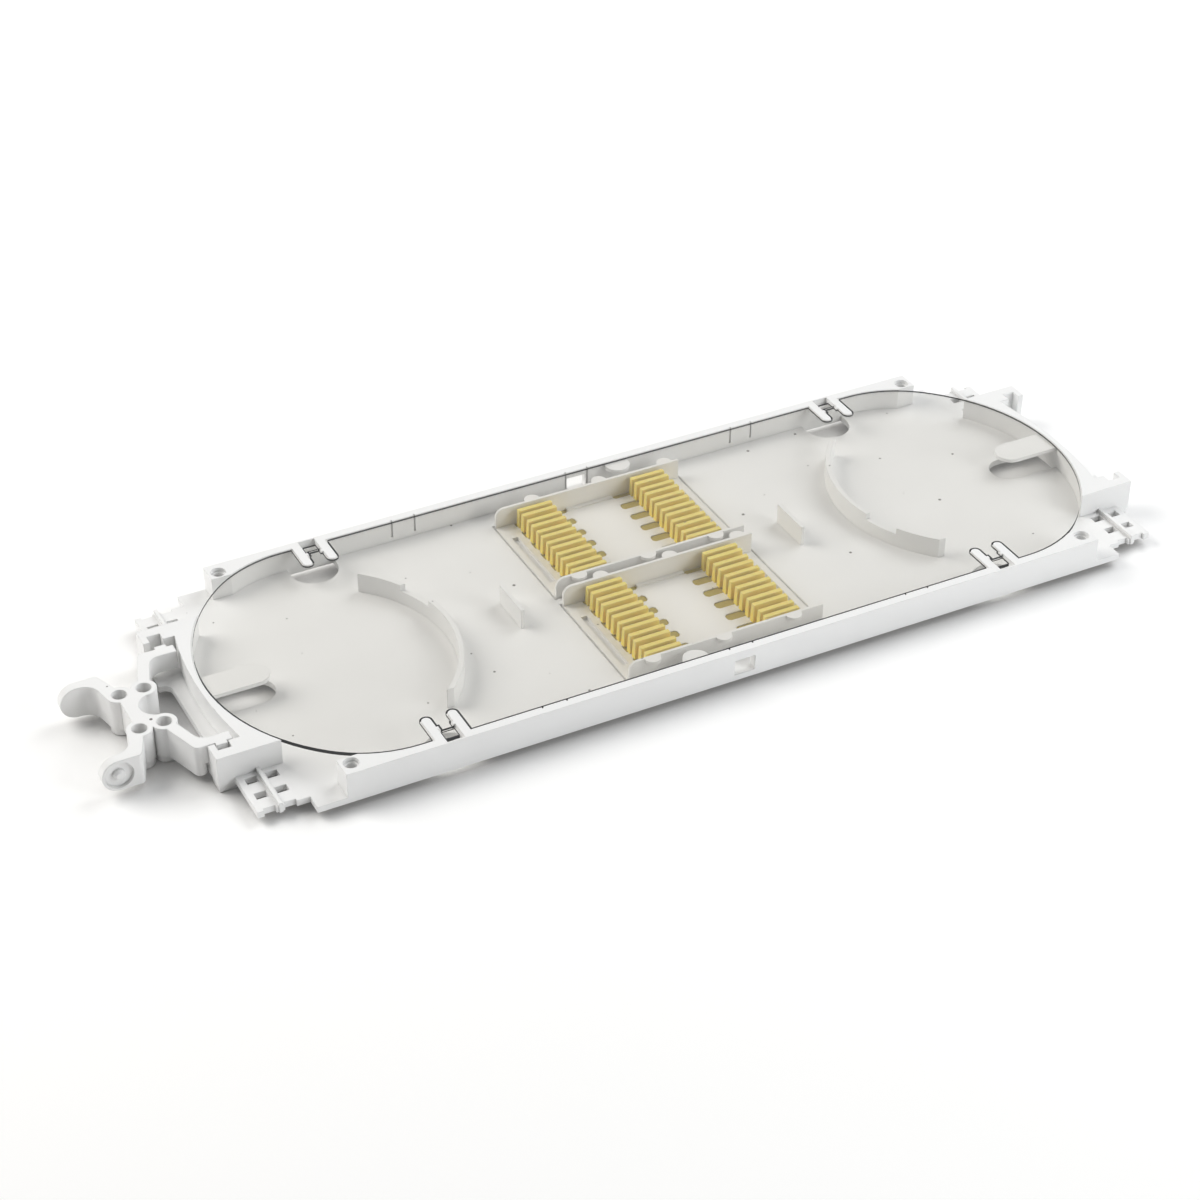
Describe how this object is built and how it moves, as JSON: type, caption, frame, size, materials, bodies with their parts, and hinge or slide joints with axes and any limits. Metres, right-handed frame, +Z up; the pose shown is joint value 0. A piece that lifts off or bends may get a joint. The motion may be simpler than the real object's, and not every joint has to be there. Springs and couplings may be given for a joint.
{
  "type": "fibre splice tray",
  "caption": "Shallow white fibre splice tray with bowed ends, clear lift-off cover, splice holders with soft combs, cable-tie ladders and a snap-in hinge bracket",
  "frame": {"origin": "middle of the tray's flat underside, which rests on the surface", "axes": "+X along the tray away from the hinge bracket, +Y across the tray to the rear long wall, +Z up out of the tray"},
  "size_m": [0.3463, 0.114, 0.0102],
  "materials": {
    "white_plastic": "satin moulded",
    "clear_plastic": "clear polished",
    "comb_rubber": "soft matt"
  },
  "bodies": {
    "tray_body": {"tray": "white_plastic", "splice_holder_rear": "white_plastic", "splice_holder_front": "white_plastic", "comb_rear_left": "comb_rubber", "comb_rear_right": "comb_rubber", "comb_front_left": "comb_rubber", "comb_front_right": "comb_rubber", "hinge_bracket": "white_plastic"},
    "cover_body": {"cover": "clear_plastic"}
  },
  "joints": [
    {"name": "cover_lift", "type": "slide", "parent": "tray_body", "child": "cover_body", "axis": [0, 0, 1], "range_m": [0, 0.06]}
  ]
}
